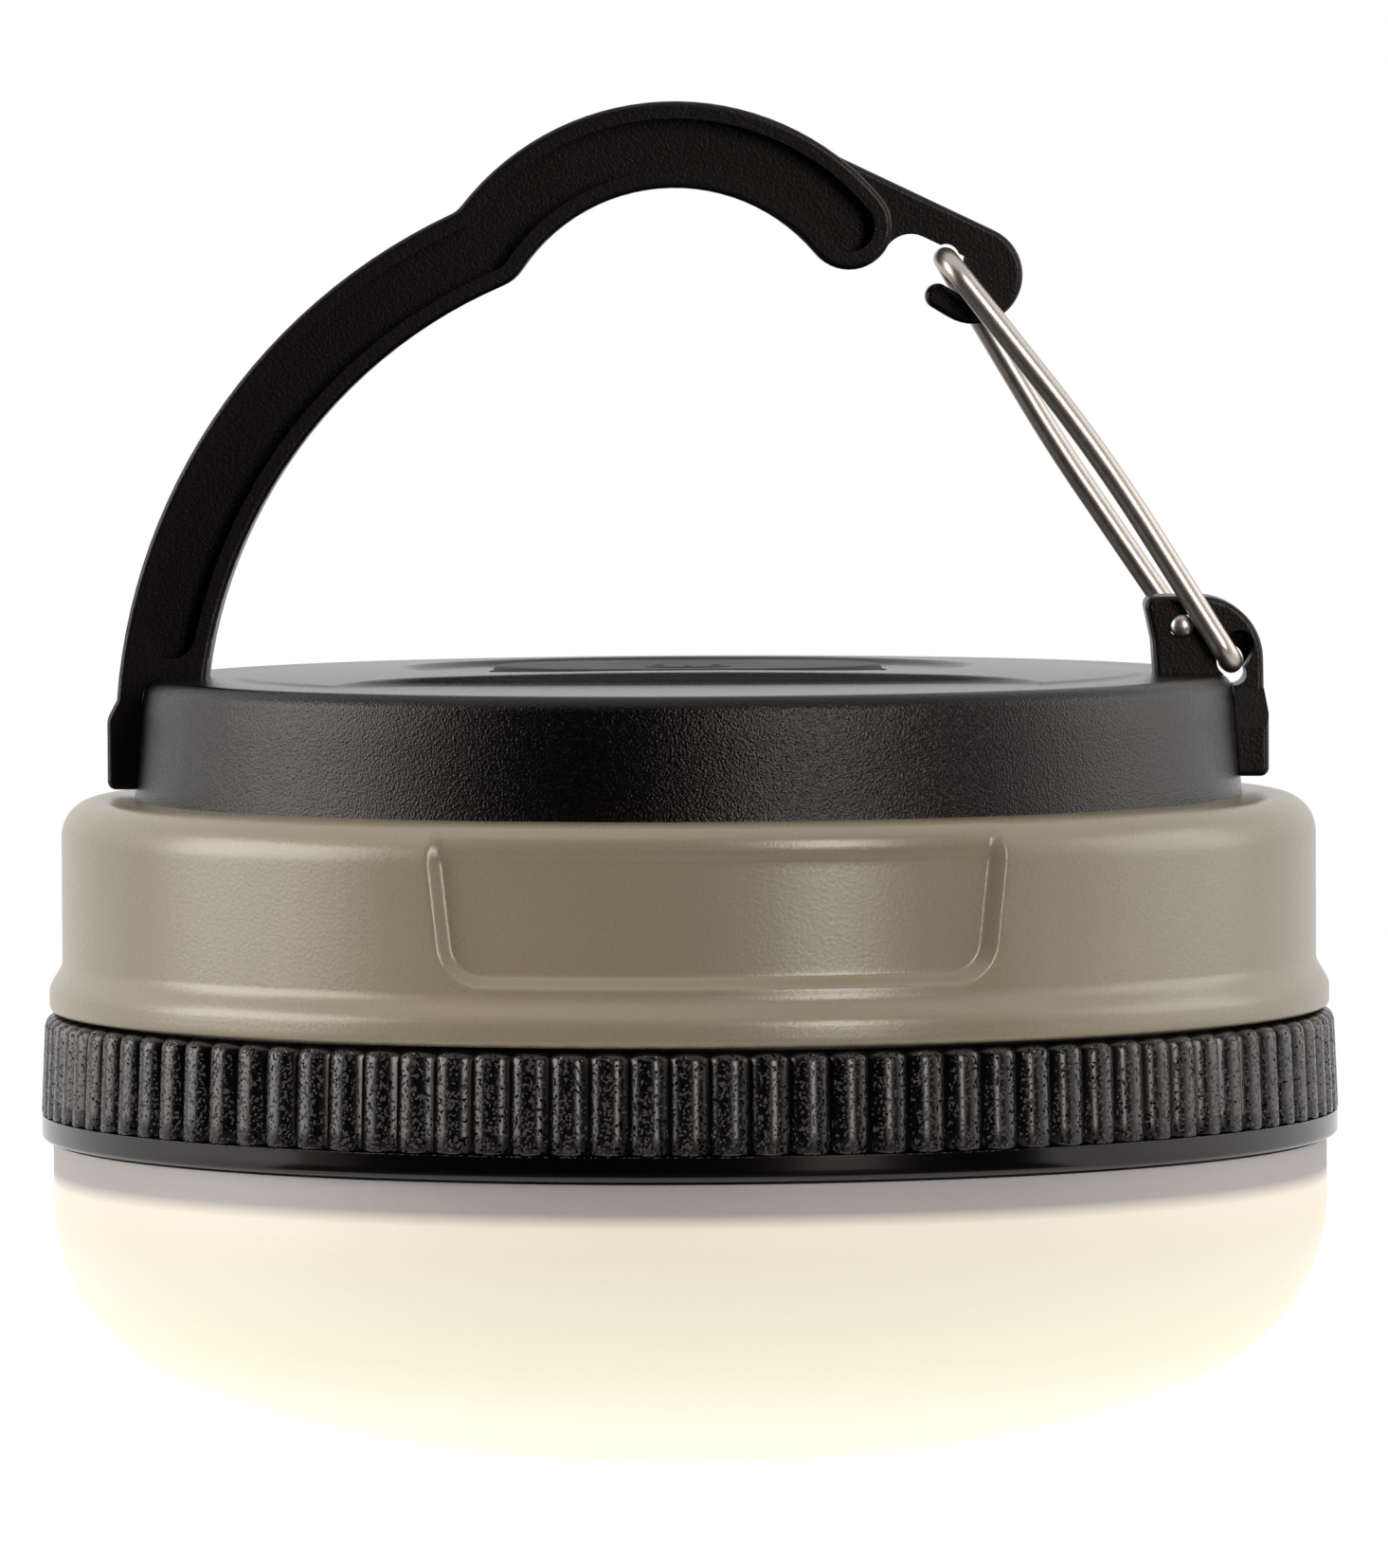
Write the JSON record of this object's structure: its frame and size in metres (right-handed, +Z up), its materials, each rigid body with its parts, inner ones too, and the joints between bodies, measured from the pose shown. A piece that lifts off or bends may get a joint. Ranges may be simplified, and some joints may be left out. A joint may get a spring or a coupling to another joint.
{
  "type": "camping lantern",
  "caption": "Hanging puck-shaped camping lantern: carabiner handle with a sprung wire gate, push button in the cap, screw-on bezel ring and frosted dome over a lamp board.",
  "frame": {"origin": "centre of the dome's flat foot, on the lantern's axis", "axes": "+Z up along the lantern's axis, +X from the handle's fixed arm towards its wire gate, front of the lantern towards -Y"},
  "size_m": [0.09, 0.09, 0.0933],
  "materials": {
    "olive_abs": "fine moulded texture",
    "black_abs": "satin leather grain",
    "black_nylon": "moulded spark texture",
    "stainless_wire": "drawn wire",
    "bezel_abs": "coarse spark texture",
    "frosted_polycarbonate": "frosted, translucent",
    "button_elastomer": "soft matt",
    "collar_abs": "plain moulded",
    "tray_abs": "plain moulded",
    "zinc_screw": "zinc plated",
    "black_rubber": "matt",
    "silicone": "translucent matt",
    "switch_plastic": "plain moulded",
    "plunger_plastic": "plain moulded",
    "green_board": "solder mask",
    "driver_epoxy": "moulded epoxy",
    "cell_jacket": "plain film jacket",
    "nickel_strip": "nickel plated",
    "gilt_pin": "gold flash",
    "lead_insulation": "extruded",
    "lamp_board": "white solder mask",
    "led_phosphor": "phosphor under clear silicone",
    "white_reflector": "matt white",
    "brass_pad": "plain"
  },
  "bodies": {
    "housing": {"body_shell": "olive_abs", "top_cap": "black_abs", "cap_seal": "black_rubber", "carabiner_handle": "black_nylon", "gate_post": "black_nylon", "handle_screws": "zinc_screw", "button_dome": "silicone", "push_switch": "switch_plastic", "control_board": "green_board", "driver_parts": "driver_epoxy", "board_screws": "zinc_screw", "battery_tray": "tray_abs", "tray_screws": "zinc_screw", "battery_cell_left": "cell_jacket", "battery_cell_middle": "cell_jacket", "battery_cell_right": "cell_jacket", "contact_springs": "nickel_strip", "contact_plates": "nickel_strip", "battery_leads": "lead_insulation", "spring_pins": "gilt_pin", "thread_collar": "collar_abs", "collar_screws": "zinc_screw", "head_gasket": "black_rubber"},
    "lamp_head": {"diffuser": "frosted_polycarbonate", "led_carrier": "collar_abs", "led_board": "lamp_board", "leds": "led_phosphor", "led_screws": "zinc_screw", "reflector": "white_reflector", "contact_pads": "brass_pad"},
    "bezel": {"bezel_ring": "bezel_abs"},
    "button": {"power_button": "button_elastomer", "switch_plunger": "plunger_plastic"},
    "gate": {"gate_wire": "stainless_wire"}
  },
  "joints": [
    {"name": "head_drop", "type": "slide", "parent": "housing", "child": "lamp_head", "axis": [0, 0, -1], "range_m": [0, 0.004]},
    {"name": "ring_turn", "type": "hinge", "parent": "lamp_head", "child": "bezel", "pos_m": [0, 0, 0.0262], "axis": [0, 0, -1], "range_deg": [0, 720]},
    {"name": "button_press", "type": "slide", "parent": "housing", "child": "button", "axis": [0, 0, -1], "range_m": [0, 0.001], "stiffness_N_per_m": 1500, "springref_m": -0.0005, "deforming": ["button_dome"]},
    {"name": "gate_swing", "type": "hinge", "parent": "housing", "child": "gate", "pos_m": [0.03418, 0, 0.05693], "axis": [0, -1, 0], "range_deg": [0, 18], "stiffness_Nm_per_rad": 0.06, "springref_deg": -5.73}
  ],
  "couplings": [
    {"joint": "ring_turn", "follows": "head_drop", "rad_per_m": 3141.5}
  ]
}
